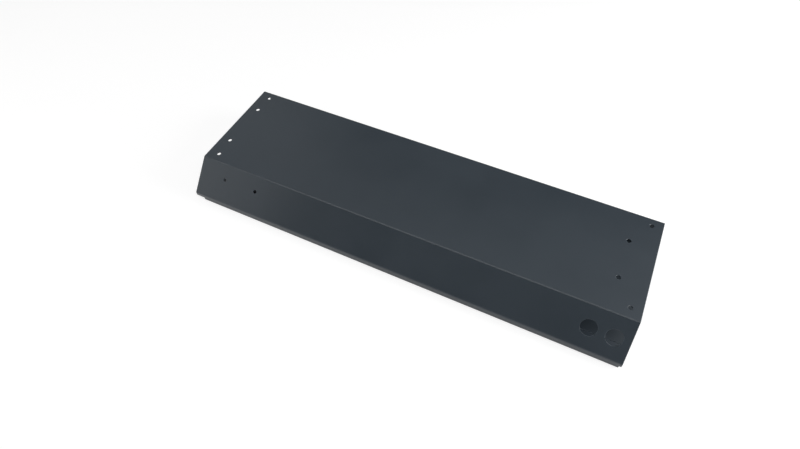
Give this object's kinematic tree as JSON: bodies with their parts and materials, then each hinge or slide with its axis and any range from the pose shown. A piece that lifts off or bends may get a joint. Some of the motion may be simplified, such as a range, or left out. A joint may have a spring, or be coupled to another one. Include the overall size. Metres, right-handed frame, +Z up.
{
  "type": "sheet metal chassis",
  "caption": "Long low box-section chassis folded from one sheet, with a sloping front flange, cable holes and fixing holes near both open ends.",
  "frame": {"origin": "middle of the footprint, on the surface that the chassis stands on", "axes": "+X along the length, +Y from the sloping front to the back wall, +Z up out of the top face"},
  "size_m": [0.6, 0.1896, 0.05],
  "materials": {
    "chassis": "satin anthracite powder coat"
  },
  "bodies": {
    "root": {"chassis": "chassis"}
  },
  "joints": []
}
